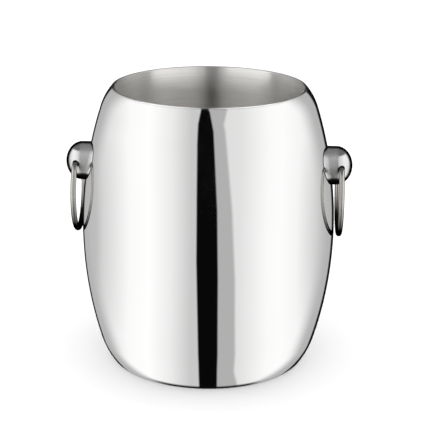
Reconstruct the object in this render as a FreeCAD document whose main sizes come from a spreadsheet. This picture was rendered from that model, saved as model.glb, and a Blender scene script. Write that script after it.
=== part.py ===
import FreeCAD, Part
import math
import os
import re

import Sketcher
from FreeCAD import Rotation, Vector

# A double-walled champagne bucket in stainless steel, with two domed knobs and two drop rings.
#
# Frame: millimetres, +Z up, origin at the centre of the foot, on the table. The knobs stand on
# the X axis, the left one at -X and the right one at +X. Each ring hangs in a plane parallel to
# Y-Z and swings about a line parallel to Y, the axis of the hole through its knob.

SIZES = {
    # the barrel's outside
    "overall_height": (221.0, "top of the lip above the table"),
    "belly_radius": (100.0, "outside, at the widest circle"),
    "belly_height": (107.3, "the widest circle above the table"),
    "belly_arc": (316.0, "radius of the long curve of the side"),
    "shoulder_depth": (15.8, "the shoulder curve starts this far below the lip"),
    "shoulder_arc": (44.0, "radius of the shoulder curve"),
    "foot_rise": (18.8, "the foot curve starts this far above the table"),
    "foot_arc": (61.6, "radius of the foot curve"),
    "foot_bend": (2.4, "outside radius where the wall turns under"),
    "foot_flange": (13.0, "width of the flat that is turned under"),
    "shell_sheet": (0.8, "thickness of the outer wall"),
    # the liner
    "liner_sheet": (0.6, "thickness of the liner"),
    "neck_gap": (0.6, "between the liner and the outer wall's top edge"),
    "lip_bend": (0.5, "inside radius where the liner turns out into the lip"),
    "lip_setback": (0.2, "the lip ends this far inside the outer wall's face"),
    "floor_height": (12.0, "the liner's floor above the table"),
    "floor_bend": (14.0, "radius between the liner's floor and its wall"),
    # the base pan
    "pan_sheet": (0.8, "thickness of the base pan"),
    "pan_gap": (3.0, "between the pan's edge and the foot's bend"),
    "pan_seat": (18.0, "width of the pan's flat edge"),
    "pan_slope": (4.0, "width of the pan's step"),
    "pan_rise": (4.0, "height of the pan's step"),
    "pan_bend": (1.6, "radius of the bends in the pan's step"),
    # the knobs
    "knob_height": (159.0, "the knob's axis above the table"),
    "knob_radius": (15.2, "of the dome and the skirt"),
    "knob_skirt": (4.26, "straight part, from the wall to the dome"),
    "knob_dome": (12.8, "depth of the dome"),
    "stud_radius": (4.0, "of the threaded stud behind the knob"),
    "stud_clearance": (0.2, "all round the stud, in the wall and the pad"),
    "stud_root": (1.0, "the stud reaches this far into the knob, past the wall"),
    "stud_spare": (1.5, "the stud's end stands this far out of its nut"),
    # the hole through the knob
    "hole_clearance": (0.4, "all round the ring's wire"),
    "hole_lift": (1.2, "the hole's axis above the knob's axis"),
    "hole_depth": (9.2, "from the knob's tip back to the hole's axis"),
    # the rings
    "ring_radius": (31.0, "to the middle of the wire"),
    "wire_radius": (2.2, "of the ring's wire"),
    "ring_bend": (6.0, "to the middle of the wire, where it turns in to the hole"),
    "ring_clearance": (1.0, "along the wire, from the knob's side to where it bends"),
    "ring_gap": (6.0, "between the wire's two ends, inside the hole"),
    # the fastening inside the double wall
    "pad_radius": (9.0, "of the saddle pad"),
    "pad_thickness": (3.0, "at its middle"),
    "washer_radius": (7.4, "outside of the lock washer"),
    "washer_thickness": (1.8, "of the lock washer"),
    "washer_split": (1.6, "width of the lock washer's gap"),
    "washer_slant": (20.0, "degrees, between that gap and the stud"),
    "nut_flats": (13.0, "across the nut's flats"),
    "nut_thickness": (5.0, "of the nut"),
    "nut_chamfer": (30.0, "degrees, on the nut's corners"),
}

# What the outlines of the wall's two faces measure, for the pieces that meet the wall.
SEAT_OUT = "(outside_outline.Constraints.seat_radius / 1 mm)"
SEAT_IN = "(inside_outline.Constraints.seat_radius / 1 mm)"
NECK_OUT = "(outside_outline.Constraints.neck_radius / 1 mm)"
NECK_IN = "(inside_outline.Constraints.neck_radius / 1 mm)"
FLAT_OUT = "(outside_outline.Constraints.flat_radius / 1 mm)"
FLAT_IN = "(inside_outline.Constraints.flat_radius / 1 mm)"
HOLE_X = f"({SEAT_OUT} + knob_skirt + knob_dome - hole_depth)"
HOLE_Z = "(knob_height + hole_lift)"
PAD_FACE = f"({SEAT_IN} - pad_thickness)"
SIDES = {"left": 180.0, "right": 0.0}
ALONG_X = Rotation(Vector(0, 1, 0), 90)
ALONG_Y = Rotation(Vector(1, 0, 0), -90)

doc = FreeCAD.newDocument("champagne_bucket")
sheet = doc.addObject("Spreadsheet::Sheet", "Sizes")
for row, (alias, (size, note)) in enumerate(SIZES.items(), start=1):
    sheet.set(f"A{row}", alias)
    sheet.set(f"B{row}", str(size))
    sheet.set(f"C{row}", note)
    sheet.setAlias(f"B{row}", alias)
doc.recompute()


# ---------------------------------------------------------------- helpers

def formula(text):
    """The expression with each size pointed at the sheet."""
    return re.sub(r"\b[a-z_]+\b", lambda word: "Sizes." * (word[0] in SIZES) + word[0], text)


def number(text):
    """What an expression comes to now."""
    return float(sheet.evalExpression(formula(text)))


def bind(thing, **sizes):
    """Binds a document object's properties to expressions."""
    for name, text in sizes.items():
        thing.setExpression(name, formula(text))


def place(thing, x="0", z="0", turned=Rotation(), y="0"):
    """Turns an object, and binds where it sits."""
    thing.Placement.Rotation = turned
    thing.setExpression(".Placement.Base.x", formula(x))
    thing.setExpression(".Placement.Base.y", formula(y))
    thing.setExpression(".Placement.Base.z", formula(z))
    return thing


def new_sketch(body, name, role="XZ_Plane"):
    sketch = body.newObject("Sketcher::SketchObject", name)
    plane = next(item for item in body.Origin.OriginFeatures if item.Role == role)
    sketch.AttachmentSupport = [(plane, "")]
    sketch.MapMode = "FlatFace"
    return sketch


def fix(sketch, kind, where, text):
    """A dimension bound to an expression."""
    index = sketch.addConstraint(Sketcher.Constraint(kind, *where, number(text)))
    sketch.setExpression(f"Constraints[{index}]", formula(text))


def measure(sketch, kind, where, name):
    """A reference dimension that other objects read by its name."""
    index = sketch.addConstraint(Sketcher.Constraint(kind, *where, 1.0))
    sketch.setDriving(index, False)
    sketch.renameConstraint(index, name)


def relate(sketch, kind, *pairs):
    for pair in pairs:
        sketch.addConstraint(Sketcher.Constraint(kind, *pair))


def arc(centre, radius, first, last):
    """An arc drawn anticlockwise between two angles in radians."""
    return Part.ArcOfCircle(Part.Circle(Vector(*centre), Vector(0, 0, 1), radius), first, last)


def line(start, end):
    return Part.LineSegment(Vector(*start), Vector(*end))


def polygon(sketch, corners):
    """A closed outline of straight lines, in order, with each corner's place from the origin.

    corners gives an (x, z) pair of expressions for each one, and "0" puts it on that axis.
    """
    count = len(corners)
    places = [(number(x), number(z), 0) for x, z in corners]
    for index in range(count):
        sketch.addGeometry(line(places[index], places[(index + 1) % count]), False)
    for index in range(count):
        relate(sketch, "Coincident", (index, 2, (index + 1) % count, 1))
    for index, (x, z) in enumerate(corners):
        for kind, text, axis in (("DistanceX", x, -2), ("DistanceY", z, -1)):
            if text == "0":
                relate(sketch, "PointOnObject", (index, 1, axis))
            else:
                fix(sketch, kind, (-1, 1, index, 1), text)


def revolve(body, sketch):
    """Turns an outline about its sketch's upright axis."""
    turning = body.newObject("PartDesign::Revolution", sketch.Name + "_turned")
    turning.Profile = sketch
    turning.ReferenceAxis = (sketch, ["V_Axis"])
    turning.Angle = 360
    body.Tip = turning
    return turning


def new_body(name):
    return doc.addObject("PartDesign::Body", name)


def cylinder(name, radius, start, length):
    """A cylinder along X at the knob's height, from start on towards +X."""
    rod = doc.addObject("Part::Cylinder", name)
    bind(rod, Radius=radius, Height=length)
    return place(rod, start, "knob_height", ALONG_X)


def combine(kind, name, base, tool):
    """One boolean of two objects: Cut, Common or Fuse."""
    result = doc.addObject("Part::" + kind, name)
    result.Base = base
    result.Tool = tool
    return result


def name_part(thing, label, turn=0.0):
    """Makes an object a part of the bucket, turned about the bucket's axis."""
    thing.Label = label
    thing.Placement.Rotation = Rotation(Vector(0, 0, 1), turn)
    parts.append(thing)


parts = []


# ---------------------------------------------------------------- the barrel's two faces

def barrel(name, inset, floor, top):
    """A solid barrel whose side lies a wall's thickness inside the bucket's outside.

    The side is three arcs, each tangent to the next, and a bend into the flat bottom.
    """
    body = new_body(name)
    sketch = new_sketch(body, name + "_outline")
    shoulder = f"(overall_height - shoulder_depth - belly_height) * (1 - ({inset}) / belly_arc)"
    foot = f"(belly_height - foot_rise) * (1 - ({inset}) / belly_arc)"
    centre_z = number("belly_height")
    centre_x = number("belly_radius - belly_arc")
    long_arc, shoulder_arc, foot_arc, bend = (
        number(f"{radius} - ({inset})") for radius in ("belly_arc", "shoulder_arc", "foot_arc", "foot_bend"))
    up = math.asin(number(shoulder) / long_arc)
    down = math.asin(number(foot) / long_arc)

    shoulder_x = centre_x + (long_arc - shoulder_arc) * math.cos(up)
    shoulder_z = centre_z + (long_arc - shoulder_arc) * math.sin(up)
    foot_x = centre_x + (long_arc - foot_arc) * math.cos(down)
    foot_z = centre_z - (long_arc - foot_arc) * math.sin(down)
    top_angle = math.asin((number(top) - shoulder_z) / shoulder_arc)
    top_x = shoulder_x + shoulder_arc * math.cos(top_angle)
    bend_z = number(floor) + bend
    bend_angle = math.asin((foot_z - bend_z) / (foot_arc - bend))
    bend_x = foot_x + (foot_arc - bend) * math.cos(bend_angle)

    sketch.addGeometry([
        arc((centre_x, centre_z, 0), long_arc, -down, up),
        arc((shoulder_x, shoulder_z, 0), shoulder_arc, up, top_angle),
        arc((foot_x, foot_z, 0), foot_arc, -bend_angle, -down),
        arc((bend_x, bend_z, 0), bend, -math.pi / 2, -bend_angle),
        line((0, number(floor), 0), (bend_x, number(floor), 0)),
        line((0, number(top), 0), (0, number(floor), 0)),
        line((top_x, number(top), 0), (0, number(top), 0)),
    ], False)
    seat = number("knob_height") - centre_z
    seat_x = centre_x + math.sqrt(long_arc ** 2 - seat ** 2)
    sketch.addGeometry(Part.Point(Vector(seat_x, number("knob_height"), 0)), True)

    relate(sketch, "Tangent", (0, 2, 1, 1), (2, 2, 0, 1), (3, 2, 2, 1), (4, 2, 3, 1))
    relate(sketch, "Coincident", (6, 1, 1, 2), (6, 2, 5, 1), (5, 2, 4, 1))
    relate(sketch, "Horizontal", (4,), (6,))
    relate(sketch, "PointOnObject", (5, 1, -2), (5, 2, -2), (7, 1, 0))
    fix(sketch, "Radius", (0,), f"belly_arc - ({inset})")
    fix(sketch, "Radius", (1,), f"shoulder_arc - ({inset})")
    fix(sketch, "Radius", (2,), f"foot_arc - ({inset})")
    fix(sketch, "Radius", (3,), f"foot_bend - ({inset})")
    fix(sketch, "DistanceX", (0, 3, -1, 1), "belly_arc - belly_radius")
    fix(sketch, "DistanceY", (-1, 1, 0, 3), "belly_height")
    fix(sketch, "DistanceY", (0, 3, 0, 2), shoulder)
    fix(sketch, "DistanceY", (0, 1, 0, 3), foot)
    fix(sketch, "DistanceY", (-1, 1, 1, 2), top)
    fix(sketch, "DistanceY", (5, 2, 5, 1), f"{top} - ({floor})")
    fix(sketch, "DistanceY", (-1, 1, 7, 1), "knob_height")
    measure(sketch, "DistanceX", (-1, 1, 7, 1), "seat_radius")
    measure(sketch, "DistanceX", (-1, 1, 1, 2), "neck_radius")
    measure(sketch, "DistanceX", (-1, 1, 4, 2), "flat_radius")
    revolve(body, sketch)
    doc.recompute()
    return body


outside = barrel("outside", "0", "0", "overall_height - liner_sheet")
inside = barrel("inside", "shell_sheet", "shell_sheet", "overall_height - liner_sheet")


# ---------------------------------------------------------------- outer shell

def make_outer_shell():
    """One sheet, drawn in to the neck and turned under at the foot, with a hole for each stud."""
    wall = combine("Cut", "wall", outside, inside)
    opening = doc.addObject("Part::Cylinder", "foot_opening")
    bind(opening, Radius=FLAT_OUT + " - foot_flange", Height="shell_sheet")
    ring_foot = combine("Cut", "wall_with_foot", wall, opening)
    drill = cylinder("stud_drill", "stud_radius + stud_clearance", "-belly_radius", "2 * belly_radius")
    name_part(combine("Cut", "drilled_wall", ring_foot, drill), "outer_shell")


# ---------------------------------------------------------------- inner liner

def make_inner_liner():
    """A straight-sided pot. Its top edge turns out over the outer wall's and closes the lip."""
    body = new_body("liner")
    sketch = new_sketch(body, "liner_outline")
    face = f"({NECK_IN} - neck_gap)"
    lip_end = f"({NECK_OUT} - lip_setback)"
    under = "(overall_height - liner_sheet)"
    turn_z = "(overall_height - liner_sheet - lip_bend)"
    corner_z = "(floor_height + floor_bend)"
    wall = number(face)
    sheet_t = number("liner_sheet")
    end = number(lip_end)
    top = number("overall_height")
    bend = number("lip_bend")
    floor = number("floor_height")
    low = number("floor_bend")
    quarter = math.pi / 2
    hub = (wall - sheet_t - low, floor + low, 0)
    turn = (wall + bend, top - sheet_t - bend, 0)

    sketch.addGeometry([
        line((0, floor - sheet_t, 0), (hub[0], floor - sheet_t, 0)),
        arc(hub, low + sheet_t, -quarter, 0),
        line((wall, hub[1], 0), (wall, turn[1], 0)),
        arc(turn, bend, quarter, 2 * quarter),
        line((turn[0], top - sheet_t, 0), (end, top - sheet_t, 0)),
        arc((end - sheet_t, top - sheet_t, 0), sheet_t, 0, quarter),
        line((end - sheet_t, top, 0), (turn[0], top, 0)),
        arc(turn, bend + sheet_t, quarter, 2 * quarter),
        line((wall - sheet_t, turn[1], 0), (wall - sheet_t, hub[1], 0)),
        arc(hub, low, -quarter, 0),
        line((hub[0], floor, 0), (0, floor, 0)),
        line((0, floor, 0), (0, floor - sheet_t, 0)),
    ], False)
    relate(sketch, "Coincident", (11, 2, 0, 1), (10, 2, 11, 1), (4, 2, 5, 1), (3, 3, 7, 3), (1, 3, 9, 3))
    relate(sketch, "Tangent", (0, 2, 1, 1), (1, 2, 2, 1), (2, 2, 3, 2), (3, 1, 4, 1), (5, 2, 6, 1),
           (6, 2, 7, 1), (7, 2, 8, 1), (8, 2, 9, 2), (9, 1, 10, 1))
    relate(sketch, "Horizontal", (0,), (4,))
    relate(sketch, "Vertical", (2,))
    relate(sketch, "PointOnObject", (11, 1, -2), (11, 2, -2), (5, 3, 4))
    fix(sketch, "DistanceX", (-1, 1, 2, 1), face)
    fix(sketch, "DistanceX", (-1, 1, 4, 2), lip_end)
    fix(sketch, "DistanceY", (-1, 1, 4, 2), under)
    fix(sketch, "DistanceY", (-1, 1, 3, 3), turn_z)
    fix(sketch, "DistanceY", (-1, 1, 1, 3), corner_z)
    fix(sketch, "Radius", (9,), "floor_bend")
    fix(sketch, "Radius", (1,), "floor_bend + liner_sheet")
    fix(sketch, "Radius", (5,), "liner_sheet")
    fix(sketch, "Radius", (7,), "lip_bend + liner_sheet")
    revolve(body, sketch)
    name_part(body, "inner_liner")


# ---------------------------------------------------------------- base pan

def make_base_pan():
    """A pressed disc on the turned-under foot. Its middle is raised, clear of the table."""
    body = new_body("pan")
    sketch = new_sketch(body, "pan_outline")
    edge = f"({FLAT_IN} - pan_gap)"
    low = "shell_sheet"
    low_top = "(shell_sheet + pan_sheet)"
    high = "(shell_sheet + pan_rise)"
    high_top = "(shell_sheet + pan_rise + pan_sheet)"
    step = f"({edge} - pan_seat)"
    inner = f"({edge} - pan_seat - pan_slope)"
    polygon(sketch, [("0", high), (inner, high), (step, low), (edge, low),
                     (edge, low_top), (step, low_top), (inner, high_top), ("0", high_top)])
    pressed = revolve(body, sketch)
    doc.recompute()
    bends = [f"Edge{index}" for index, item in enumerate(pressed.Shape.Edges, start=1)
             if isinstance(item.Curve, Part.Circle) and item.Curve.Radius < number(edge) - 1]
    rounding = body.newObject("PartDesign::Fillet", "pan_bends")
    rounding.Base = (pressed, bends)
    bind(rounding, Radius="pan_bend")
    body.Tip = rounding
    name_part(body, "base_pan")


# ---------------------------------------------------------------- knobs

def make_hole_tool():
    """The straight hole that the ring's ends turn in, right through the knob."""
    reach = "(knob_radius + 1)"
    hole = doc.addObject("Part::Cylinder", "ring_hole")
    bind(hole, Radius="wire_radius + hole_clearance", Height=f"2 * {reach}")
    return place(hole, HOLE_X, HOLE_Z, ALONG_Y, f"-{reach}")


def make_knob_blank():
    """The turned knob before its back is shaped: a skirt, and half an ellipsoid for the dome."""
    dome_plane = f"({SEAT_OUT} + knob_skirt)"
    skirt_start = f"({SEAT_OUT} - knob_radius)"
    skirt = cylinder("skirt", "knob_radius", skirt_start, f"{dome_plane} - {skirt_start}")
    dome = doc.addObject("Part::Ellipsoid", "dome")
    dome.Angle1 = 0
    bind(dome, Radius1="knob_dome", Radius2="knob_radius", Radius3="knob_radius")
    place(dome, dome_plane, "knob_height", ALONG_X)
    return combine("Fuse", "knob_blank", skirt, dome)


def make_knob(side, turn, blank, hole):
    """The blank with its back shaped to the barrel, its stud, and the hole for the ring."""
    saddled = combine("Cut", side + "_knob_saddled", blank, outside)
    start = f"({PAD_FACE} - washer_thickness - nut_thickness - stud_spare)"
    stud = cylinder(side + "_stud", "stud_radius", start, f"{SEAT_OUT} + stud_root - {start}")
    studded = combine("Fuse", side + "_knob_studded", saddled, stud)
    studded.Refine = True
    name_part(combine("Cut", side + "_knob_bored", studded, hole), side + "_knob", turn)


# ---------------------------------------------------------------- rings

def make_ring(side, turn):
    """Round wire bent to a ring, with its two ends turned in and sprung into the knob's hole.

    The ring's own frame has its origin in the middle of the hole. The wire's line runs from the
    left end, round a small bend, down round the ring and back up to the right end.
    """
    body = new_body(side + "_wire")
    path = new_sketch(body, side + "_ring_line", "YZ_Plane")
    radius = number("ring_radius")
    bend = number("ring_bend")
    shoulder = number("knob_radius + ring_clearance")
    end = number("ring_gap / 2")
    drop = bend + math.sqrt((radius - bend) ** 2 - shoulder ** 2)
    lean = math.atan2(drop - bend, shoulder)
    path.addGeometry([
        line((-end, 0, 0), (-shoulder, 0, 0)),
        arc((-shoulder, -bend, 0), bend, math.pi / 2, math.pi - lean),
        arc((0, -drop, 0), radius, math.pi - lean, 2 * math.pi + lean),
        arc((shoulder, -bend, 0), bend, lean, math.pi / 2),
        line((shoulder, 0, 0), (end, 0, 0)),
    ], False)
    relate(path, "Tangent", (0, 2, 1, 1), (1, 2, 2, 1), (2, 2, 3, 1), (3, 2, 4, 1))
    relate(path, "Symmetric", (0, 1, 4, 2, -2), (0, 2, 4, 1, -2))
    relate(path, "PointOnObject", (0, 1, -1), (0, 2, -1), (2, 3, -2))
    fix(path, "DistanceX", (0, 1, 4, 2), "ring_gap")
    fix(path, "DistanceX", (0, 2, 4, 1), "2 * (knob_radius + ring_clearance)")
    fix(path, "Radius", (1,), "ring_bend")
    fix(path, "Radius", (2,), "ring_radius")
    section = new_sketch(body, side + "_wire_section")
    section.setExpression(".AttachmentOffset.Base.z", formula("ring_gap / 2"))
    section.addGeometry(Part.Circle(Vector(0, 0, 0), Vector(0, 0, 1), number("wire_radius")), False)
    relate(section, "Coincident", (0, 3, -1, 1))
    fix(section, "Radius", (0,), "wire_radius")
    doc.recompute()
    wire = body.newObject("PartDesign::AdditivePipe", side + "_wire_bent")
    wire.Profile = section
    wire.Spine = (path, [f"Edge{index}" for index in range(1, 6)])
    body.Tip = wire
    place(body, HOLE_X, HOLE_Z)
    moved = doc.addObject("Part::Compound", side + "_ring_group")
    moved.Links = [body]
    name_part(moved, side + "_ring", turn)
    doc.recompute()
    line_length = sum(edge.Length for edge in path.Shape.Edges)
    bent = number("wire_radius") ** 2 * math.pi * line_length
    print(f"{side} ring: wire {line_length:.2f} mm long, volume {wire.Shape.Volume:.1f} of {bent:.1f} mm3")


# ---------------------------------------------------------------- fastening

def make_saddle_pad(side, turn):
    """A disc behind the wall: one face follows the wall's curve, the other is flat."""
    blank = cylinder(side + "_pad_blank", "pad_radius", PAD_FACE, "pad_thickness + knob_radius")
    seated = combine("Common", side + "_pad_seated", blank, inside)
    drill = cylinder(side + "_pad_drill", "stud_radius + stud_clearance", PAD_FACE,
                     "pad_thickness + knob_radius")
    name_part(combine("Cut", side + "_pad_drilled", seated, drill), side + "_saddle_pad", turn)


def make_lock_washer(side, turn):
    """A spring washer, pressed flat, with its slanting split at the top."""
    start = f"({PAD_FACE} - washer_thickness)"
    disc = cylinder(side + "_washer_disc", "washer_radius", start, "washer_thickness")
    drill = cylinder(side + "_washer_drill", "stud_radius + stud_clearance", start, "washer_thickness")
    band = combine("Cut", side + "_washer_band", disc, drill)
    body = new_body(side + "_split_tool")
    sketch = new_sketch(body, side + "_split_outline", "XY_Plane")
    lean = "washer_thickness * tan(washer_slant * 1 deg)"
    corners = [("0", "-washer_split / 2"), ("washer_thickness", f"-washer_split / 2 + {lean}"),
               ("washer_thickness", f"washer_split / 2 + {lean}"), ("0", "washer_split / 2")]
    polygon(sketch, corners)
    pad = body.newObject("PartDesign::Pad", side + "_split_pad")
    pad.Profile = sketch
    bind(pad, Length="washer_radius + 1")
    body.Tip = pad
    place(body, start, "knob_height")
    name_part(combine("Cut", side + "_washer_split", band, body), side + "_lock_washer", turn)


def make_nut(side, turn):
    """A hexagon nut with chamfered corners. Threads are plain at their outer size."""
    start = f"({PAD_FACE} - washer_thickness - nut_thickness)"
    hexagon = doc.addObject("Part::Prism", side + "_hexagon")
    hexagon.Polygon = 6
    bind(hexagon, Circumradius="nut_flats / 2 / cos(30 deg)", Height="nut_thickness")
    place(hexagon, start, "knob_height", ALONG_X)
    body = new_body(side + "_nut_crown")
    sketch = new_sketch(body, side + "_nut_outline")
    corner = "nut_flats / 2 / cos(30 deg)"
    drop = f"({corner} - nut_flats / 2) * tan(nut_chamfer * 1 deg)"
    polygon(sketch, [("0", "0"), ("nut_flats / 2", "0"), (corner, drop), (corner, f"nut_thickness - {drop}"),
                     ("nut_flats / 2", "nut_thickness"), ("0", "nut_thickness")])
    revolve(body, sketch)
    place(body, start, "knob_height", ALONG_X)
    chamfered = combine("Common", side + "_nut_chamfered", hexagon, body)
    drill = cylinder(side + "_nut_drill", "stud_radius", start, "nut_thickness")
    name_part(combine("Cut", side + "_nut_tapped", chamfered, drill), side + "_nut", turn)


# ---------------------------------------------------------------- the whole bucket

make_outer_shell()
make_inner_liner()
make_base_pan()
knob_blank = make_knob_blank()
ring_hole = make_hole_tool()
for name, angle in SIDES.items():
    make_knob(name, angle, knob_blank, ring_hole)
    make_ring(name, angle)
    make_saddle_pad(name, angle)
    make_lock_washer(name, angle)
    make_nut(name, angle)
doc.recompute()

faults = [item.Name for item in doc.Objects if {"Invalid", "Error"} & set(item.State)]
faults += [item.Label for item in parts if item.Shape.isNull() or not item.Shape.isValid()]
faults += [item.Label for item in parts if len(item.Shape.Solids) != 1]
if faults:
    raise RuntimeError("not built: " + ", ".join(faults))

os.makedirs("parts", exist_ok=True)
for item in parts:
    item.Shape.exportStep(os.path.join("parts", item.Label + ".step"))
    box = item.Shape.BoundBox
    print(f"{item.Label:20s} {item.Shape.Volume:10.1f} mm3  X {box.XMin:8.2f} {box.XMax:8.2f}"
          f"  Y {box.YMin:8.2f} {box.YMax:8.2f}  Z {box.ZMin:7.2f} {box.ZMax:7.2f}")
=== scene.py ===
# %% [markdown]
# # A double-walled champagne bucket in polished steel
#
# This lesson models the bucket's visible skin round a fixed mechanical frame, and gives each
# piece a finish. The frame holds every part at its true size and place, in metres, with +Z up
# and the origin at the centre of the foot. The knobs stand on the X axis and the camera looks
# along +Y. Nothing in the frame is moved: we read its measures, and build smoother pieces there.

import math

import bpy
from mathutils import Matrix, Vector


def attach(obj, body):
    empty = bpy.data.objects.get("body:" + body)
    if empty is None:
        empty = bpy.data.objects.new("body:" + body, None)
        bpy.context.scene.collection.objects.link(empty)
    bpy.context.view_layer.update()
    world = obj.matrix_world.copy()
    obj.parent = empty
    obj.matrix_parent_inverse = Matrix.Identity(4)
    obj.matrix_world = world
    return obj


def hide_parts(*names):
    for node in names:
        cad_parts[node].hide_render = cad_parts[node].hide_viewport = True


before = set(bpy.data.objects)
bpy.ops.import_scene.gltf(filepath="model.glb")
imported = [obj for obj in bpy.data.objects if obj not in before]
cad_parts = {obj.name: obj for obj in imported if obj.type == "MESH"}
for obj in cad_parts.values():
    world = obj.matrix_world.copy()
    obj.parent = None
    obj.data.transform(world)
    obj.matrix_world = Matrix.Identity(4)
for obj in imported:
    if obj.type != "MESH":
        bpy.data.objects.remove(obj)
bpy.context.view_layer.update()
print("frame nodes:", ", ".join(sorted(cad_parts)))

# %% [markdown]
# ## Working in millimetres
# A metal spinner's drawing is in millimetres, so the sizes below are too, and one factor turns
# them into Blender's metres. `only` makes one object the active and only selected one, because
# every operator acts on all that is selected.

# %% Units and selection
MM = 0.001


def only(piece):
    bpy.ops.object.select_all(action="DESELECT")
    piece.select_set(True)
    bpy.context.view_layer.objects.active = piece


def triangles(piece):
    return sum(len(face.vertices) - 2 for face in piece.data.polygons)


bpy.ops.object.select_all(action="DESELECT")
print("one millimetre is", MM, "of a metre")

# %% [markdown]
# ## A lathe for the mesh
# Almost everything on a bucket is turned or spun: the sheet is pressed against a turning form.
# The mesh is made the same way. An outline is drawn as a chain of points, starting from a plane
# merged down to one point and extruded from point to point. Spin then carries the outline round
# an axis. The first and last copies meet, so doubles are merged, and the normals are made to
# point outwards before anything else is done.

# %% The lathe
def arc(centre, radius, first, last, count):
    """Points on an arc between two angles in degrees, both ends included."""
    turns = [math.radians(first + (last - first) * step / count) for step in range(count + 1)]
    return [(centre[0] + radius * math.cos(turn), centre[1] + radius * math.sin(turn)) for turn in turns]


def chain(*runs):
    """Joins runs of points into one, leaving out a point that repeats the one before it."""
    points = []
    for run in runs:
        for point in run:
            if not points or math.dist(point, points[-1]) > 1e-4:
                points.append(point)
    return points


def draw_outline(name, points):
    """One edge chain in the X-Z plane, left in edit mode with all of it selected."""
    first = points[0]
    bpy.ops.object.select_all(action="DESELECT")
    bpy.ops.mesh.primitive_plane_add(size=MM, location=(first[0] * MM, 0, first[1] * MM))
    bpy.ops.object.transform_apply(location=True)
    piece = bpy.context.active_object
    piece.name = name
    bpy.ops.object.mode_set(mode="EDIT")
    bpy.ops.mesh.merge(type="CENTER")
    for before, after in zip(points, points[1:]):
        step = ((after[0] - before[0]) * MM, 0, (after[1] - before[1]) * MM)
        bpy.ops.mesh.extrude_region_move(TRANSFORM_OT_translate={"value": step})
    bpy.ops.mesh.select_all(action="SELECT")
    return piece


def turn_on_lathe(name, points, steps, axis=(0, 0, 1), centre=(0, 0, 0)):
    """Spins an outline a whole turn and closes it."""
    piece = draw_outline(name, points)
    bpy.ops.mesh.spin(steps=steps, angle=2 * math.pi, center=centre, axis=axis)
    bpy.ops.mesh.select_all(action="SELECT")
    bpy.ops.mesh.remove_doubles(threshold=0.01 * MM)
    bpy.ops.mesh.normals_make_consistent(inside=False)
    bpy.ops.object.mode_set(mode="OBJECT")
    bpy.ops.object.shade_smooth_by_angle(angle=math.radians(35))
    print(f"{name}: {len(piece.data.vertices)} points, {triangles(piece)} triangles")
    return piece


# %% [markdown]
# ## The barrel's side
# The side is three arcs that run into one another: a shoulder drawn in towards the mouth, one
# long curve over the belly, and a tighter curve into the foot, where the sheet turns under. A
# mirror shows every break in a curve, so the arcs are tangent and finely divided. The inner
# face of the sheet is the same curve one sheet's thickness in.

# %% The curve of the side
TOP = 221.0
SHEET = 0.8
LINER_SHEET = 0.6
BELLY = (-216.0, 107.3)
BELLY_ARC = 316.0
SHOULDER_ARC = 44.0
SHOULDER_DEPTH = 15.8
FOOT_ARC = 61.6
FOOT_RISE = 18.8
FOOT_BEND = 2.4
NECK_Z = TOP - LINER_SHEET


def side(inset, fineness):
    """The side from the neck down to the flat of the foot, a given depth inside the outside."""
    long_arc, shoulder, foot, bend = (
        radius - inset for radius in (BELLY_ARC, SHOULDER_ARC, FOOT_ARC, FOOT_BEND))
    up = math.asin((TOP - SHOULDER_DEPTH - BELLY[1]) / BELLY_ARC)
    down = math.asin((BELLY[1] - FOOT_RISE) / BELLY_ARC)
    shoulder_centre = (BELLY[0] + (BELLY_ARC - SHOULDER_ARC) * math.cos(up),
                       BELLY[1] + (BELLY_ARC - SHOULDER_ARC) * math.sin(up))
    foot_centre = (BELLY[0] + (BELLY_ARC - FOOT_ARC) * math.cos(down),
                   BELLY[1] - (BELLY_ARC - FOOT_ARC) * math.sin(down))
    neck = math.asin((NECK_Z - shoulder_centre[1]) / shoulder)
    heel = math.asin((foot_centre[1] - FOOT_BEND) / (FOOT_ARC - FOOT_BEND))
    bend_centre = (foot_centre[0] + (FOOT_ARC - FOOT_BEND) * math.cos(heel), FOOT_BEND)
    up, down, neck, heel = (math.degrees(angle) for angle in (up, down, neck, heel))
    return chain(
        arc(shoulder_centre, shoulder, neck, up, int(16 * fineness)),
        arc(BELLY, long_arc, up, -down, int(100 * fineness)),
        arc(foot_centre, foot, -down, -heel, int(18 * fineness)),
        arc(bend_centre, bend, -heel, -90, int(10 * fineness)))


outer_face = side(0, 1.0)
inner_face = side(SHEET, 0.4)
NECK_OUT = outer_face[0][0]
NECK_IN = inner_face[0][0]
FLAT = outer_face[-1][0]
print(f"neck {NECK_OUT:.2f} mm outside and {NECK_IN:.2f} mm inside, flat of the foot {FLAT:.2f} mm")

# %% [markdown]
# ## The outer wall
# On the real bucket this is one sheet of stainless steel, drawn in at the neck and turned under
# at the foot, then polished to a mirror. It could be a bare surface with a Solidify modifier,
# but a closed outline gives the turned-under flange its true square end at once.

# %% Turn the outer wall
FOOT_FLANGE = 13.0
wall_outline = chain(
    outer_face,
    [(FLAT - FOOT_FLANGE, 0), (FLAT - FOOT_FLANGE, SHEET)],
    inner_face[::-1],
    outer_face[:1])
outer_wall = turn_on_lathe("outer_wall", wall_outline, 288)

# %% [markdown]
# ## Holes for the studs
# Each knob is held by a threaded stud that passes through the wall. The two holes are drilled
# with one long cutter, right across the bucket, so that they line up.

# %% Drill the wall
KNOB_Z = 159.0
STUD_HOLE = 4.2
DRILL_REACH = 110


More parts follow.
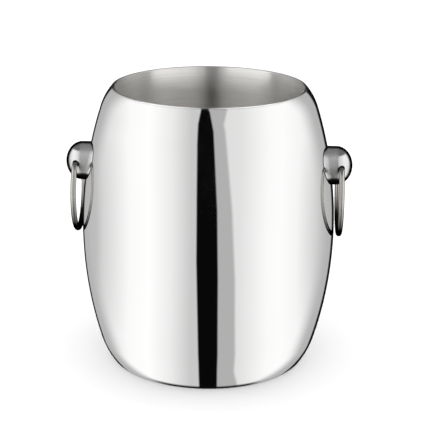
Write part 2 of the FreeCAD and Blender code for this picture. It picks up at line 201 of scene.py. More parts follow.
def along(name, axis, radius, low, high, across, up, sides=64):
    """A round bar along X or Y, from one end to the other, for cutting or joining."""
    middle = (low + high) / 2
    spot = (middle, across, up) if axis == "X" else (across, middle, up)
    turn = (0, math.pi / 2, 0) if axis == "X" else (math.pi / 2, 0, 0)
    bpy.ops.object.select_all(action="DESELECT")
    bpy.ops.mesh.primitive_cylinder_add(
        vertices=sides, radius=radius * MM, depth=(high - low) * MM,
        location=[value * MM for value in spot], rotation=turn)
    bar = bpy.context.active_object
    bar.name = name
    bpy.ops.object.transform_apply(location=True, rotation=True)
    return bar


def work_with(piece, tool, operation):
    """Cuts a piece with a tool, or joins the tool to it. The tool is then thrown away."""
    only(piece)
    change = piece.modifiers.new(operation.title(), "BOOLEAN")
    change.operation = operation
    change.object = tool
    change.solver = "EXACT"
    bpy.ops.object.modifier_apply(modifier=change.name)
    bpy.data.objects.remove(tool, do_unlink=True)


stud_drill = along("stud_drill", "X", STUD_HOLE, -DRILL_REACH, DRILL_REACH, 0, KNOB_Z)
work_with(outer_wall, stud_drill, "DIFFERENCE")
print("outer_wall drilled:", triangles(outer_wall), "triangles")

# %% [markdown]
# ## The liner
# The liner is a second, straighter pot of thinner sheet. Its top edge is turned out over the
# outer wall's edge and makes the thin round lip. It is brushed inside while it turns, which
# leaves fine lines that run round it.

# %% Turn the liner
NECK_GAP = 0.6
LIP_SETBACK = 0.2
LINER_OUT = NECK_IN - NECK_GAP
LINER_IN = LINER_OUT - LINER_SHEET
LIP_END = NECK_OUT - LIP_SETBACK
LIP_BEND = 0.5
FLOOR_Z = 12.0
FLOOR_BEND = 14.0
corner = (LINER_IN - FLOOR_BEND, FLOOR_Z + FLOOR_BEND)
roll = (LINER_OUT + LIP_BEND, TOP - LINER_SHEET - LIP_BEND)
wall_steps = [(LINER_IN, corner[1] + (roll[1] - corner[1]) * step / 24) for step in range(25)]
floor_steps = [(corner[0] * (1 - step / 12), FLOOR_Z) for step in range(13)]
liner_outline = chain(
    [(0, FLOOR_Z - LINER_SHEET)],
    arc(corner, FLOOR_BEND + LINER_SHEET, -90, 0, 12),
    arc(roll, LIP_BEND, 180, 90, 6),
    arc((LIP_END - LINER_SHEET, TOP - LINER_SHEET), LINER_SHEET, 0, 90, 6),
    arc(roll, LIP_BEND + LINER_SHEET, 90, 180, 10),
    wall_steps[::-1],
    arc(corner, FLOOR_BEND, 0, -90, 20),
    floor_steps)
liner = turn_on_lathe("liner", liner_outline, 256)
print(f"the liner is {2 * LINER_IN:.1f} mm across inside")

# %% [markdown]
# ## The base pan
# A pressed disc closes the bottom. It lies on the turned-under flange, and a step raises its
# middle clear of the table. The step's bends are short arcs, as a press tool leaves them.

# %% Turn the base pan
PAN_SHEET = 0.8
PAN_GAP = 3.0
PAN_SEAT = 18.0
PAN_SLOPE = 4.0
PAN_RISE = 4.0
PAN_BEND = 1.6
pan_edge = FLAT - PAN_GAP
pan_step = pan_edge - PAN_SEAT
pan_inner = pan_step - PAN_SLOPE
slope = math.degrees(math.atan2(PAN_RISE, PAN_SLOPE))


def bent_step(low):
    """The sloping step up from one height, with a short arc at each bend."""
    reach = PAN_BEND * math.tan(math.radians(slope / 2))
    first = arc((pan_step + reach, low + PAN_BEND), PAN_BEND, -90, -90 - slope, 6)
    second = arc((pan_inner - reach, low + PAN_RISE - PAN_BEND), PAN_BEND, 90 - slope, 90, 6)
    return first + second


pan_outline = chain(
    [(0, SHEET + PAN_RISE)],
    bent_step(SHEET)[::-1],
    [(pan_edge, SHEET), (pan_edge, SHEET + PAN_SHEET)],
    bent_step(SHEET + PAN_SHEET),
    [(0, SHEET + PAN_RISE + PAN_SHEET)])
base = turn_on_lathe("base", pan_outline, 160)

# %% [markdown]
# ## The knobs
# Each knob is one turned piece: half an ellipsoid on a short round skirt, with a stud behind.
# Its back is shaped to the barrel, so a solid copy of the barrel is cut from it and the joint
# closes all round. The dome is finely divided, because the hole for the ring is cut through it
# and a coarse mesh would show the cut in the polish.

# %% Turn a knob
KNOB_R = 15.2
DOME = 12.8
SKIRT = 4.26
BLANK = 10
seat = BELLY[0] + math.sqrt(BELLY_ARC ** 2 - (KNOB_Z - BELLY[1]) ** 2)
dome_plane = seat + SKIRT
tip = dome_plane + DOME
knob_outline = [
    (dome_plane + DOME * math.cos(math.radians(turn)), KNOB_Z + KNOB_R * math.sin(math.radians(turn)))
    for turn in (step * 90 / 56 for step in range(57))]
knob_outline += [(dome_plane - step, KNOB_Z + KNOB_R) for step in (1, 2, 3, 4, 5, 6, 7, 8, BLANK)]
knob_outline += [(dome_plane - BLANK, KNOB_Z)]
right_knob = turn_on_lathe("right_knob_polished", knob_outline, 160, (1, 0, 0), (0, 0, KNOB_Z * MM))
print(f"knob from x {seat:.2f} mm to its tip at {tip:.2f} mm")

# %% [markdown]
# ### Saddle, stud and hole
# The solid barrel is the outer outline closed at the axis. After the saddle is cut, the stud is
# joined on, and the hole for the ring's ends is drilled straight through from side to side.

# %% Shape the knob's back and drill it
barrel_outline = chain([(0, NECK_Z)], outer_face, [(0, 0)])
solid_barrel = turn_on_lathe("solid_barrel", barrel_outline, 288)
work_with(right_knob, solid_barrel, "DIFFERENCE")
STUD_R = 4.0
STUD_LENGTH = 12.11
STUD_ROOT = 1.0
stud = along("stud", "X", STUD_R, seat - STUD_LENGTH, seat + STUD_ROOT, 0, KNOB_Z)
work_with(right_knob, stud, "UNION")

WIRE = 2.2
HOLE_R = WIRE + 0.4
HOLE_X = tip - 9.2
HOLE_Z = KNOB_Z + 1.2
PAST_KNOB = 20
ring_drill = along("ring_drill", "Y", HOLE_R, -PAST_KNOB, PAST_KNOB, HOLE_X, HOLE_Z, 72)
work_with(right_knob, ring_drill, "DIFFERENCE")
only(right_knob)
bpy.ops.object.shade_smooth_by_angle(angle=math.radians(35))
print(f"hole of {2 * HOLE_R:.1f} mm at x {HOLE_X:.2f} mm, z {HOLE_Z:.2f} mm")
print("right knob:", triangles(right_knob), "triangles")

# %% [markdown]
# ## The rings
# Each ring is a length of round wire. Its two ends are turned in and sprung into the hole from
# both sides. The wire's round section is one disc, and each run of the wire is made by carrying
# that disc on: extruded along a straight run, and spun about the bend's centre for a curve.

# %% Bend a ring
RING_R = 31.0
RING_BEND = 6.0
shoulder_y = KNOB_R + 1.0
END_Y = 3.0
drop = RING_BEND + math.sqrt((RING_R - RING_BEND) ** 2 - shoulder_y ** 2)
lean = math.atan2(drop - RING_BEND, shoulder_y)
RING_Z = HOLE_Z - drop


def bend_on(centre_y, centre_z, angle, steps):
    """Carries the selected section round a line parallel to X."""
    bpy.ops.mesh.spin(steps=steps, angle=-angle, axis=(1, 0, 0),
                      center=(HOLE_X * MM, centre_y * MM, centre_z * MM))


bpy.ops.object.select_all(action="DESELECT")
bpy.ops.mesh.primitive_circle_add(
    vertices=40, radius=WIRE * MM, fill_type="NGON",
    location=(HOLE_X * MM, -END_Y * MM, HOLE_Z * MM), rotation=(math.pi / 2, 0, 0))
right_ring = bpy.context.active_object
right_ring.name = "right_ring_wire"
bpy.ops.object.transform_apply(location=True, rotation=True)
bpy.ops.object.mode_set(mode="EDIT")
for _ in range(4):
    run = -(shoulder_y - END_Y) / 4 * MM
    bpy.ops.mesh.extrude_region_move(TRANSFORM_OT_translate={"value": (0, run, 0)})
bend_on(-shoulder_y, HOLE_Z - RING_BEND, math.pi / 2 - lean, 18)
bend_on(0, RING_Z, math.pi + 2 * lean, 176)
bend_on(shoulder_y, HOLE_Z - RING_BEND, math.pi / 2 - lean, 18)
for _ in range(4):
    bpy.ops.mesh.extrude_region_move(TRANSFORM_OT_translate={"value": (0, run, 0)})
bpy.ops.mesh.select_all(action="SELECT")
bpy.ops.mesh.remove_doubles(threshold=0.001 * MM)
bpy.ops.mesh.normals_make_consistent(inside=False)
bpy.ops.object.mode_set(mode="OBJECT")
bpy.ops.object.shade_smooth_by_angle(angle=math.radians(35))
lowest = min(vertex.co.z for vertex in right_ring.data.vertices) / MM
ends = [vertex.co.y / MM for vertex in right_ring.data.vertices]
print(f"right_ring_wire: {triangles(right_ring)} triangles, lowest point {lowest:.2f} mm")
print(f"its width runs from y {min(ends):.2f} to {max(ends):.2f} mm")

# %% [markdown]
# ## The left side
# The two sides are the same. The left knob and ring are copies of the right ones, each with its
# own mesh, turned half a turn about the bucket's axis. The turn is applied, so that every
# finished piece sits at the origin, unturned.

# %% Copy to the left
def copy_to_left(piece, name):
    only(piece)
    bpy.ops.object.duplicate(linked=False)
    twin = bpy.context.active_object
    twin.name = name
    twin.rotation_euler = (0, 0, math.pi)
    bpy.ops.object.transform_apply(rotation=True)
    return twin


left_knob = copy_to_left(right_knob, "left_knob_polished")
left_ring = copy_to_left(right_ring, "left_ring_wire")
print("left side:", left_knob.name, "and", left_ring.name)

# %% [markdown]
# ## Whose place each piece takes
# Each new piece rides on the body that carries its frame part, and hides that part. The rings
# ride on their own bodies, so that they swing.

# %% Hang the pieces on the frame
PLACES = [
    (outer_wall, "bucket", "outer_shell", "mirror_wall"),
    (liner, "bucket", "inner_liner", "satin_liner"),
    (base, "bucket", "base_pan", "base_steel"),
    (right_knob, "bucket", "right_knob", "polished_knob"),
    (left_knob, "bucket", "left_knob", "polished_knob"),
    (right_ring, "right_ring", "right_ring", "polished_ring"),
    (left_ring, "left_ring", "left_ring", "polished_ring")]
for piece, body, node, finish in PLACES:
    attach(piece, body)
    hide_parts(node)
print(len(PLACES), "pieces stand for frame parts")

# %% [markdown]
# ## Tools for the finishes
# Every finish is a small tree of nodes round one Principled shader. `Finish` starts one, and
# `into` leads a pattern into one of the shader's sockets. Patterns read Object coordinates, in
# metres, so a scratch is the same size on every piece. Values that are the same all over are set
# on the shader itself.

# %% Finish helpers
class Finish:
    """One material and its shader, with short ways to add nodes."""

    def __init__(self, name, colour, metal=1.0, **sockets):
        self.material = bpy.data.materials.new(name)
        self.material.use_nodes = True
        self.nodes = self.material.node_tree.nodes
        self.links = self.material.node_tree.links
        self.shader = self.nodes["Principled BSDF"]
        self.shader.inputs["Base Color"].default_value = (*colour, 1)
        self.shader.inputs["Metallic"].default_value = metal
        for socket, value in sockets.items():
            self.shader.inputs[socket.replace("_", " ")].default_value = value
        self.place = self.nodes.new("ShaderNodeTexCoord").outputs["Object"]

    def add(self, kind, **values):
        node = self.nodes.new("ShaderNode" + kind)
        for name, value in values.items():
            setattr(node, name, value)
        return node

    def link(self, source, target):
        self.links.new(source, target)

    def into(self, socket, source):
        """Leads a pattern into one of the shader's sockets."""
        self.link(source, self.shader.inputs[socket])

    def noise(self, stretch, detail, roughness):
        """A noise pattern, finer along the axes that are stretched more."""
        mapping = self.add("Mapping")
        mapping.inputs["Scale"].default_value = stretch
        pattern = self.add("TexNoise")
        pattern.inputs["Scale"].default_value = 1.0
        pattern.inputs["Detail"].default_value = detail
        pattern.inputs["Roughness"].default_value = roughness
        self.link(self.place, mapping.inputs["Vector"])
        self.link(mapping.outputs["Vector"], pattern.inputs["Vector"])
        return pattern.outputs["Fac"]

    def between(self, source, low, high, start, end):
        """Maps the range from start to end onto the range from low to high."""
        ramp = self.add("MapRange")
        for socket, value in (("From Min", start), ("From Max", end), ("To Min", low), ("To Max", high)):
            ramp.inputs[socket].default_value = value
        self.link(source, ramp.inputs["Value"])
        return ramp.outputs["Result"]

    def tint(self, source, first, second):
        """Mixes two colours by a pattern. Either of them can be another pattern's socket."""
        mix = self.add("Mix", data_type="RGBA")
        self.link(source, mix.inputs["Factor"])
        for socket, colour in (("A", first), ("B", second)):
            if isinstance(colour, bpy.types.NodeSocket):
                self.link(colour, mix.inputs[socket])
            else:
                mix.inputs[socket].default_value = (*colour, 1)
        return mix.outputs["Result"]

    def add_up(self, first, second):
        """The sum of two patterns."""
        total = self.add("Math", operation="ADD")
        self.link(first, total.inputs[0])
        self.link(second, total.inputs[1])
        return total.outputs["Value"]

    def bump(self, height, strength, depth, under=None):
        """Raises the surface a little by a pattern, over another bump if there is one."""
        relief = self.add("Bump")
        relief.inputs["Strength"].default_value = strength
        relief.inputs["Distance"].default_value = depth
        self.link(height, relief.inputs["Height"])
        if under is not None:
            self.link(under, relief.inputs["Normal"])
        return relief.outputs["Normal"]

    def along_axis(self, axis):
        """How far the spot lies along one axis, in metres."""
        parts = self.add("SeparateXYZ")
        self.link(self.place, parts.inputs["Vector"])
        return parts.outputs[axis]

    def edge_on(self):
        """Nought where the surface faces the eye, and one where it is seen edge on."""
        weight = self.add("LayerWeight")
        weight.inputs["Blend"].default_value = 0.5
        return weight.outputs["Facing"]

    def round_axis(self):
        """A tangent that runs round the bucket's axis, for brushing."""
        self.into("Tangent", self.add("Tangent", direction_type="RADIAL", axis="Z").outputs["Tangent"])


def coat(piece, finish):
    piece.data.materials.clear()
    piece.data.materials.append(finish.material)


print("finish helpers ready")

# %% [markdown]
# ## Mirror-polished steel
# The outside is buffed to a mirror. A buffing wheel leaves very fine lines round the body, hands
# leave faint cloudy films, and a spun sheet is never quite true, so reflections waver slightly.

# %% Mirror finish
mirror = Finish("mirror_polished_steel", (0.93, 0.93, 0.925))
buffing = mirror.noise((6, 6, 2600), 4.0, 0.6)
film = mirror.noise((14, 14, 9), 5.0, 0.6)
waver = mirror.noise((7, 7, 5), 1.0, 0.4)
mirror.into("Roughness", mirror.between(film, 0.012, 0.05, 0.45, 0.75))
lines = mirror.bump(buffing, 0.012, 0.00002)
mirror.into("Normal", mirror.bump(waver, 0.25, 0.0004, under=lines))
coat(outer_wall, mirror)
print("mirror finish on", outer_wall.name)

# %% [markdown]
# ## Brushed satin steel
# The liner was brushed while it turned, so its lines run round the axis. Brushed metal spreads
# light across its lines: an anisotropic shader with its tangent round the axis does that, and
# draws light and dark bands that stand upright on the wall.

# %% Satin finish
satin = Finish("brushed_satin_steel", (0.70, 0.685, 0.66), Anisotropic=1.0, Anisotropic_Rotation=0.25)
satin.round_axis()
strokes = satin.noise((10, 10, 1500), 6.0, 0.7)
wear = satin.noise((20, 20, 60), 5.0, 0.6)
stroke_share = satin.between(strokes, 0, 1, 0.3, 0.7)
satin.into("Base Color", satin.tint(stroke_share, (0.72, 0.71, 0.69), (0.88, 0.87, 0.85)))
satin.into("Roughness", satin.between(wear, 0.29, 0.36, 0.3, 0.7))
satin.into("Normal", satin.bump(strokes, 0.25, 0.00003))
coat(liner, satin)
print("satin finish on", liner.name)

# %% [markdown]
# ## Polished knobs
# The knobs are small and round, so they show the whole room at once and turn dark at their edges,
# where the steel is seen edge on. The shader's specular tint darkens that edge, and a layer weight
# paints it near black in the base colour, a painted dark edge. They carry fingerprints and turning
# lines. The skirt by the wall is duller, since a buffing wheel can't get close. The underside's base
# colour is painted near black, a painted dark reflection below the knob.

# %% Knob finish
NO_EDGE_SHINE = (0.0, 0.0, 0.0, 1)
knob_polish = Finish("polished_knob_steel", (0.80, 0.80, 0.80), Specular_Tint=NO_EDGE_SHINE)
prints = knob_polish.noise((160, 160, 160), 5.0, 0.6)
steel_tint = knob_polish.tint(prints, (0.72, 0.72, 0.72), (0.88, 0.88, 0.88))
# Painted dark edge: the base colour is painted near black where the knob is seen edge on, a painted
# reflection.
painted_dark_edge = knob_polish.between(knob_polish.edge_on(), 0, 1, 0.42, 0.58)
tint_with_painted_dark_edge = knob_polish.tint(painted_dark_edge, steel_tint, (0.02, 0.02, 0.02))
# Painted dark reflection: the base colour is painted near black on the lower part of the knob and fades out
# above it.
painted_underside_fades_from, painted_underside_gone_above = (KNOB_Z - 7.8) * MM, (KNOB_Z - 5.8) * MM
above_painted_dark = knob_polish.between(knob_polish.along_axis("Z"), 0, 1, painted_underside_fades_from, painted_underside_gone_above)
knob_polish.into("Base Color", knob_polish.tint(above_painted_dark, (0.025, 0.024, 0.022), tint_with_painted_dark_edge))

outward = knob_polish.add("Math", operation="ABSOLUTE")
knob_polish.link(knob_polish.along_axis("X"), outward.inputs[0])
skirt_from, dome_from = (dome_plane - 0.5) * MM, (dome_plane + 2.0) * MM
duller = knob_polish.between(outward.outputs["Value"], 0.26, 0.0, skirt_from, dome_from)
printed = knob_polish.between(prints, 0.10, 0.20, 0.35, 0.75)
knob_polish.into("Roughness", knob_polish.add_up(printed, duller))
turning = knob_polish.noise((2600, 8, 8), 3.0, 0.5)
knob_polish.into("Normal", knob_polish.bump(turning, 0.02, 0.00002))
coat(right_knob, knob_polish)
coat(left_knob, knob_polish)
print("knob finish made")

# %% [markdown]
# ### Inside the hole
# The buffing wheel never reaches into the hole, so its wall stays dull. Its colour is painted near
# black, a painted shade for the inside of the hole. Its faces are found by their distance from the
# hole's axis and get their own finish.

# %% Hole finish
NEAR_ENOUGH = 0.02
# Painted shade: the hole's wall is painted near black, standing in for the dark inside of the hole.
painted_dark_bore = Finish("bore_painted_dark", (0.035, 0.034, 0.033), Roughness=0.55)
feed_marks = painted_dark_bore.noise((40, 900, 40), 3.0, 0.5)
painted_dark_bore.into("Base Color", painted_dark_bore.tint(feed_marks, (0.02, 0.02, 0.02), (0.06, 0.058, 0.055)))
bored = 0
for knob, out in ((right_knob, 1), (left_knob, -1)):
    knob.data.materials.append(painted_dark_bore.material)
    for face in knob.data.polygons:
        corners = [knob.data.vertices[index].co for index in face.vertices]
        reach = max(math.hypot(out * spot.x / MM - HOLE_X, spot.z / MM - HOLE_Z) for spot in corners)
        if reach < HOLE_R + NEAR_ENOUGH:
            face.material_index = 1
            bored += 1
print(bored, "faces inside the two holes")

# %% [markdown]
# ### The rings
# The rings are warmer in tone. They rub bright where they are held. Low down their base colour is
# painted near black, a painted dark reflection, and a layer weight paints their edges dark where
# the wire is seen edge on, also a painted reflection.

# %% Ring finish
# Painted dark reflection: the base colour is painted near black low on the ring and fades out upwards.
PAINTED_DARK_BELOW, PAINTED_DARK_GONE_ABOVE = 112 * MM, 138 * MM
ring_polish = Finish("polished_ring_steel", (0.5, 0.49, 0.47), Specular_Tint=NO_EDGE_SHINE)
above_painted_dark = ring_polish.between(ring_polish.along_axis("Z"), 0, 1, PAINTED_DARK_BELOW, PAINTED_DARK_GONE_ABOVE)
ring_tone_with_painted_dark = ring_polish.tint(above_painted_dark, (0.03, 0.029, 0.027), (0.62, 0.60, 0.57))
# Painted dark edge: the base colour turns near black where the wire is seen edge on, a painted reflection.
painted_dark_edge = ring_polish.between(ring_polish.edge_on(), 0, 1, 0.35, 0.85)
ring_polish.into("Base Color", ring_polish.tint(painted_dark_edge, ring_tone_with_painted_dark, (0.06, 0.058, 0.055)))
rubbed = ring_polish.noise((220, 220, 90), 5.0, 0.6)
ring_polish.into("Roughness", ring_polish.between(rubbed, 0.08, 0.26, 0.35, 0.75))
coat(right_ring, ring_polish)
coat(left_ring, ring_polish)
print("ring finish made")

# %% [markdown]
# ## The base and the hidden fittings
# The base pan is left as it came from the press, with a dull grey grain. Six small fittings stay
# as the frame made them, because they sit between the two walls: a cast saddle pad, a lock washer
# and a nut on each stud. They get finishes of their own.

# %% Base and fittings
pressed = Finish("pressed_base_steel", (0.55, 0.55, 0.54))
grain = pressed.noise((900, 60, 200), 5.0, 0.6)
pressed.into("Base Color", pressed.tint(grain, (0.47, 0.47, 0.46), (0.62, 0.62, 0.61)))
pressed.into("Roughness", pressed.between(grain, 0.28, 0.44, 0.3, 0.7))
coat(base, pressed)

cast = Finish("cast_aluminium", (0.6, 0.6, 0.59), Roughness=0.55)
sandy = cast.noise((1400, 1400, 1400), 4.0, 0.6)
cast.into("Base Color", cast.tint(sandy, (0.48, 0.48, 0.47), (0.68, 0.68, 0.67)))
cast.into("Normal", cast.bump(sandy, 0.5, 0.00008))

spring = Finish("blued_spring_steel", (0.09, 0.09, 0.1))
scale_marks = spring.noise((500, 500, 500), 5.0, 0.6)
spring.into("Base Color", spring.tint(scale_marks, (0.05, 0.052, 0.06), (0.16, 0.155, 0.15)))
spring.into("Roughness", spring.between(scale_marks, 0.3, 0.5, 0.3, 0.7))

machined = Finish("machined_nut_steel", (0.56, 0.56, 0.55))
cutter_lines = machined.noise((2200, 30, 30), 4.0, 0.6)
machined.into("Roughness", machined.between(cutter_lines, 0.2, 0.36, 0.3, 0.7))
machined.into("Normal", machined.bump(cutter_lines, 0.15, 0.00003))

for fitting, finish in (("saddle_pad", cast), ("lock_washer", spring), ("nut", machined)):
    for hand in ("left", "right"):
        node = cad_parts[f"{hand}_{fitting}"]
        node.material_slots[0].material = finish.material
        print(node.name, "in", finish.material.name)

# %% [markdown]
# ## The table
# A plain pale table reaches well past the bucket. It catches the contact shadow. The polished
# wall doesn't mirror it, because a studio lays cards on the table for the metal to mirror.

# %% Table
bpy.ops.object.select_all(action="DESELECT")
bpy.ops.mesh.primitive_plane_add(size=12, location=(0, 0, 0))
table = bpy.context.active_object
table.name = "table"
table_paint = Finish("white_table", (0.93, 0.93, 0.93), metal=0.0, Roughness=0.9)
table.data.materials.append(table_paint.material)
table.visible_glossy = False
print("table laid")

# %% [markdown]
# ## The camera
# A long lens stands about a metre away and a little above the rim, so that the mouth shows as a
# narrow ellipse. It stands two and a half degrees off square to the knobs, and it isn't quite
# level. A small lens shift sets the bucket in the frame.

# %% Camera
AIM = Vector((0, 0, 0.1105))
DISTANCE = 1.04
RAISED = math.radians(18.2)
TURNED = math.radians(2.5)
TILT = math.radians(0.5)
back = Vector((math.sin(TURNED) * math.cos(RAISED), -math.cos(TURNED) * math.cos(RAISED), math.sin(RAISED)))
across = Vector((math.cos(TURNED), math.sin(TURNED), 0))
upward = back.cross(across)
camera_x = across * math.cos(TILT) + upward * math.sin(TILT)
camera_y = upward * math.cos(TILT) - across * math.sin(TILT)
bpy.ops.object.camera_add(location=AIM + back * DISTANCE)
camera = bpy.context.active_object
camera.name = "product_camera"
camera.rotation_euler = Matrix((camera_x, camera_y, back)).transposed().to_euler()
camera.data.lens = 108.8
camera.data.sensor_width = 36
camera.data.shift_x = 0.0154
camera.data.shift_y = 0.0142
bpy.context.scene.camera = camera
bpy.context.scene.view_settings.view_transform = "Standard"
print(f"camera at {tuple(round(value, 3) for value in camera.location)}")

# %% [markdown]
# ## What the polish mirrors
# A mirror shows only the room, so the look of polished steel is the look of the room. A product
# studio puts a white light tent round the piece and hangs flags in it: one black flag in front,
# a grey one beside it, and softer greys where the tent turns away. The tent here is painted on
# the world, and only mirror rays see it. Everything else sees plain white.
#
# A flat flag's reflection bends on a barrel. To make it stand upright, each direction of the
# room is first turned into the spot of the barrel that shows it: the surface there faces half
# way between that direction and the camera. `sideways` is how far that spot lies from the
# bucket's middle, in millimetres, and `facing` is how steeply it looks up, in degrees.

# %% Room nodes
world = bpy.data.worlds.new("light_tent")
bpy.context.scene.world = world
world.use_nodes = True
tent = world.node_tree
tent.nodes.clear()


def room_node(kind, **values):
    node = tent.nodes.new("ShaderNode" + kind)
    for name, value in values.items():
        setattr(node, name, value)
    return node


def feed(socket, value):
    """Sets a socket to a number or a vector, or links another socket to it."""
    if isinstance(value, bpy.types.NodeSocket):
        tent.links.new(value, socket)
    else:
        socket.default_value = value


def reckon(operation, *values):
    """One step of arithmetic on numbers."""
    node = room_node("Math", operation=operation)
    for socket, value in zip(node.inputs, values):
        feed(socket, value)
    return node.outputs[0]


def vectors(operation, *values):
    """One step of arithmetic on vectors."""
    node = room_node("VectorMath", operation=operation)
    for socket, value in zip(node.inputs, values):
        feed(socket, value)
    return node.outputs["Value" if operation == "DOT_PRODUCT" else "Vector"]


def graded(source, stops):
    """A value that changes along a line, from (place, value) stops."""
    low, high = stops[0][0], stops[-1][0]
    least, most = min(value for _, value in stops), max(value for _, value in stops)
    ramp = room_node("ValToRGB")
    marks = ramp.color_ramp.elements
    marks.remove(marks[-1])
    for index, (spot, value) in enumerate(stops):
        share = (spot - low) / (high - low)
        mark = marks[0] if index == 0 else marks.new(share)
        mark.position = share
        level = (value - least) / (most - least)
        mark.color = (level, level, level, 1)
    feed(ramp.inputs["Fac"], reckon("DIVIDE", reckon("SUBTRACT", source, low), high - low))
    return reckon("MULTIPLY_ADD", ramp.outputs["Color"], most - least, least)


def fade(source, place, width):
    """Nought below a place and one above it, with a soft edge."""
    step = room_node("MapRange", interpolation_type="SMOOTHSTEP")
    feed(step.inputs["Value"], source)
    feed(step.inputs["From Min"], reckon("SUBTRACT", place, width / 2))
    feed(step.inputs["From Max"], reckon("ADD", place, width / 2))
    return step.outputs["Result"]


def blend_light(share, first, second):
    """The first light where share is nought, and the second where it is one."""
    node = room_node("Mix", data_type="FLOAT")
    feed(node.inputs["Factor"], share)
    feed(node.inputs["A"], first)
    feed(node.inputs["B"], second)
    return node.outputs["Result"]


def tone(level):
    """The light that a display shows as this grey, from 0 to 255, after the steel takes its share."""
    share = level / 255
    light = share / 12.92 if share < 0.04045 else ((share + 0.055) / 1.055) ** 2.4
    return light / 0.93


print("room helpers ready")

# %% [markdown]
# ### From a direction to a spot on the barrel
# The half-way vector of the room's direction and the camera's is the way the steel faces there.
# Its upright part gives the steepness. The barrel's radius at that steepness follows from the
# three arcs of the side, and the share of it that lies sideways gives the distance.

# %% Spot on the barrel
room_direction = room_node("TexCoord").outputs["Generated"]
half_way = vectors("NORMALIZE", vectors("ADD", room_direction, back))
parts = room_node("SeparateXYZ")
feed(parts.inputs["Vector"], half_way)
steepness = parts.outputs["Z"]
level_part = reckon("SQRT", reckon("SUBTRACT", 1.0, reckon("MULTIPLY", steepness, steepness)))
facing = reckon("DEGREES", reckon("ARCSINE", steepness))
SHOULDER_MIDDLE, FOOT_MIDDLE = 42.6, 28.2
over_belly = reckon("MULTIPLY_ADD", level_part, BELLY_ARC, BELLY[0])
on_shoulder = reckon("MULTIPLY_ADD", level_part, SHOULDER_ARC, SHOULDER_MIDDLE)
on_foot = reckon("MULTIPLY_ADD", level_part, FOOT_ARC, FOOT_MIDDLE)
at_end = blend_light(reckon("GREATER_THAN", steepness, 0.0), on_foot, on_shoulder)
barrel_radius = reckon("MAXIMUM", over_belly, at_end)
aside = reckon("DIVIDE", vectors("DOT_PRODUCT", half_way, across), level_part)
sideways = reckon("MULTIPLY", barrel_radius, aside)
print("the room is measured on the barrel")

# %% [markdown]
# ### The tent and its flags
# The tent has two bright panels, left and right, with a dimmer gap between them, and it darkens
# where it turns away at the sides. `TENT` gives its shades from side to side: the place in
# millimetres and the shade from 0 to 255. Then the grey flag and the black flag are laid over it.
# Each edge of a flag is given by its place at a few steepnesses, and leans a little with height.
# The black flag ends in a narrow round tip just under the lip. Above the lip's steepness the room
# is a mid grey ceiling, and below the foot's steepness it is a dark floor.

# %% Tent and flags
TENT = [
    (-100, 175), (-88, 185), (-82, 210),      # the left side, turning away
    (-60, 250), (-45, 255),                   # the left panel
    (-28, 235), (-13, 200), (0, 200),         # the gap between the panels
    (6, 220), (24, 225),                      # beside the grey flag
    (45, 250), (55, 253),                     # the right panel
    (68, 245), (80, 218), (95, 180)]          # the right side, turning away
GREY_EDGE = [(-40, 24), (-20, 20.7), (-3, 20.7), (8, 18), (19, 12.4), (27, 11), (45, 14)]
LEFT_EDGE = [(-40, -6), (-18, -6.7), (0, -9.1), (10, -9.1), (28, -8.4), (43, -6.2), (44.5, -3.6)]
RIGHT_EDGE = [(-40, 7.7), (-3, 7.7), (8, 6.7), (19, 3.6), (40, 0.4), (43, -0.8), (44.5, -3.6)]
BLACK, DARK, CEILING_GREY, FLAG_GREY = tone(8), tone(14), tone(105), tone(176)
CEILING_FROM, FLOOR_FROM = 43.5, -36.0
SHARP, SOFT = 1.6, 3.0
tent_light = graded(sideways, [(spot, tone(level)) for spot, level in TENT])
past_grey = fade(sideways, graded(facing, GREY_EDGE), SOFT)
right_of_middle = fade(sideways, -2.0, 2.0)
grey_flag = reckon("MULTIPLY", right_of_middle, reckon("SUBTRACT", 1.0, past_grey))
past_left = fade(sideways, graded(facing, LEFT_EDGE), SHARP)
past_right = fade(sideways, graded(facing, RIGHT_EDGE), SHARP)
black_flag = reckon("MULTIPLY", past_left, reckon("SUBTRACT", 1.0, past_right))
flagged = blend_light(grey_flag, tent_light, FLAG_GREY)
flagged = blend_light(black_flag, flagged, BLACK)
with_ceiling = blend_light(fade(facing, CEILING_FROM, 5.0), flagged, CEILING_GREY)
with_floor = blend_light(fade(facing, FLOOR_FROM, 3.0), DARK, with_ceiling)
print(len(TENT), "shades in the tent")

# %% [markdown]
# ### Behind the bucket
# Behind the bucket the half-way rule draws every edge together into one point, so the shades there
# follow the compass bearing instead, from 0 in front to 180 behind. The tent's side shades carry
# on round, and a tall black gap straight behind draws the dark line round the bucket's outline.

# %% Behind the bucket
room_parts = room_node("SeparateXYZ")
feed(room_parts.inputs["Vector"], room_direction)
frontward = reckon("MULTIPLY", room_parts.outputs["Y"], -1.0)
bearing = reckon("DEGREES", reckon("ABSOLUTE", reckon("ARCTAN2", room_parts.outputs["X"], frontward)))
rise = reckon("DEGREES", reckon("ARCSINE", room_parts.outputs["Z"]))
BEHIND = [(100, 225), (120, 195), (140, 180), (153, 177), (157, 16), (180, 16)]
TOP_EDGE, BOTTOM_EDGE, EDGE_WIDTH = 32.0, -62.0, 10.0
behind_light = graded(bearing, [(spot, tone(level)) for spot, level in BEHIND])
below_top = reckon("SUBTRACT", 1.0, fade(rise, TOP_EDGE, EDGE_WIDTH))
upright_part = reckon("MULTIPLY", below_top, fade(rise, BOTTOM_EDGE, EDGE_WIDTH))
behind_share = reckon("MULTIPLY", fade(bearing, 125.0, 30.0), upright_part)
room_light = blend_light(behind_share, with_floor, behind_light)
print(len(BEHIND), "shades behind the bucket")

# %% [markdown]
# ### Two rooms in one world
# Mirror rays see the tent. Every other ray, the camera's and the table's, sees plain white.

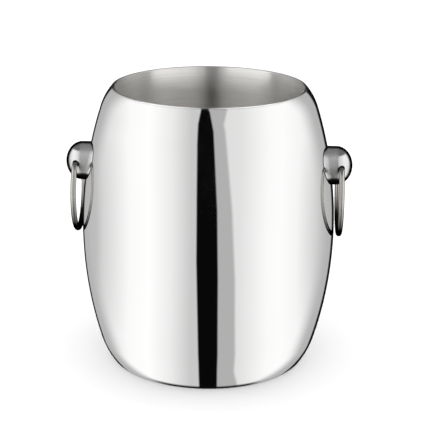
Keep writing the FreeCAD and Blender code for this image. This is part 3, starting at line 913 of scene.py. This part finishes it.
# %% Light the room
PLAIN_STRENGTH = 1.35
mirrored = room_node("Background")
feed(mirrored.inputs["Color"], room_light)
plain = room_node("Background")
plain.inputs["Color"].default_value = (1, 1, 1, 1)
plain.inputs["Strength"].default_value = PLAIN_STRENGTH
either = room_node("MixShader")
feed(either.inputs["Fac"], room_node("LightPath").outputs["Is Glossy Ray"])
feed(either.inputs[1], plain.outputs["Background"])
feed(either.inputs[2], mirrored.outputs["Background"])
feed(room_node("OutputWorld").inputs["Surface"], either.outputs["Shader"])
print("room lit with", len(tent.nodes), "nodes")

# %% [markdown]
# ## Lamps for the inside
# The brushed liner spreads light up and down its wall, so a soft lamp shows in it as an upright
# bright band. Wide lamps stand left and right of the camera, a strong one low down and a weak one
# above it. Only a faint low lamp fills the gap between left and right, which leaves the dark band
# in the middle. Light linking lets the lamps reach the liner only. The list gives each lamp the
# bearings and heights that it spans, in degrees as seen from the mouth, and its power in watts.

# %% Mouth lamps
mouth_light = bpy.data.collections.new("lit_by_mouth_lamps")
mouth_light.objects.link(liner)
LAMPS = [
    ("left_low_lamp", -80, -16, 2, 8, 2.5),
    ("right_low_lamp", 9, 81, 2, 8, 2.8),
    ("middle_low_lamp", -16, 9, 2, 8, 0.39),
    ("left_high_lamp", -80, -17, 20, 50, 0.7),
    ("right_high_lamp", 9, 81, 20, 50, 0.7)]
LAMP_REACH = 1.0
for name, start, end, low, high, power in LAMPS:
    swing = math.radians((start + end) / 2)
    rise = math.radians((low + high) / 2)
    outward = Vector((math.sin(swing) * math.cos(rise), -math.cos(swing) * math.cos(rise), math.sin(rise)))
    bpy.ops.object.light_add(type="AREA", location=Vector((0, 0, TOP * MM)) + outward * LAMP_REACH)
    lamp = bpy.context.active_object
    lamp.name = name
    lamp.rotation_euler = outward.to_track_quat("Z", "Y").to_euler()
    lamp.data.shape = "RECTANGLE"
    lamp.data.size = 2 * LAMP_REACH * math.cos(rise) * math.tan(math.radians((end - start) / 2))
    lamp.data.size_y = 2 * LAMP_REACH * math.tan(math.radians((high - low) / 2))
    lamp.data.energy = power
    lamp.visible_camera = False
    lamp.light_linking.receiver_collection = mouth_light
    print(f"{name}: {lamp.data.size:.2f} by {lamp.data.size_y:.2f} m")
